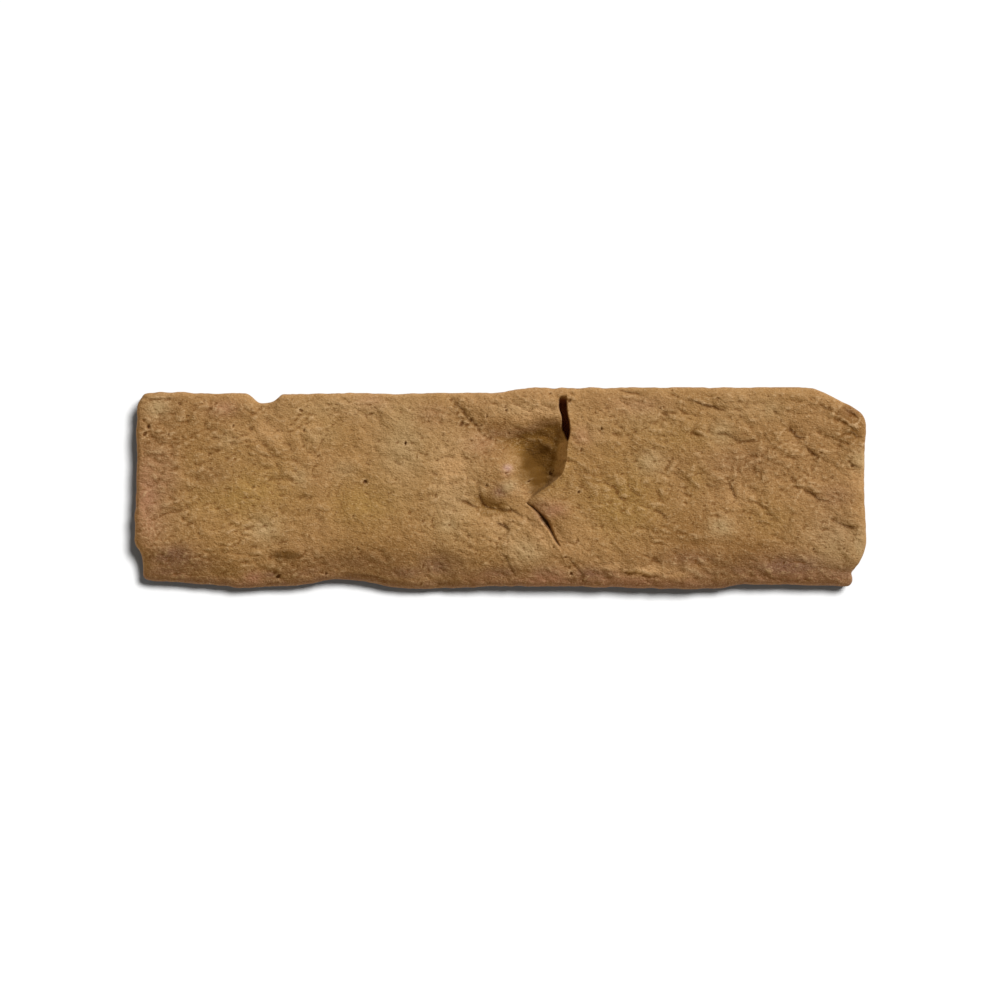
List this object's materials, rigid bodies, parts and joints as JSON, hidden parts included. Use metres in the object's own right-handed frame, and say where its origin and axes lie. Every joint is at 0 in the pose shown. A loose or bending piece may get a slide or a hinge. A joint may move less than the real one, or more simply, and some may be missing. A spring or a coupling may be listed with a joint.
{
  "type": "terracotta brick tile",
  "caption": "Hand-moulded terracotta brick tile: a thin fired-clay slab with a flat bonding back, irregular rolled edges and a folded, cracked face, laid in courses to clad a wall.",
  "frame": {"origin": "under the middle of the tile's outline, on the flat bonding back", "axes": "+X along the course, +Y up the wall when laid, +Z out of the wall through the moulded face; the tile is stored lying on its back"},
  "size_m": [0.25, 0.069, 0.02],
  "materials": {
    "terracotta": "unglazed, sandy, hand-moulded buff clay with pale and rosy patches"
  },
  "bodies": {
    "root": {"brick_tile": "terracotta"}
  },
  "joints": []
}
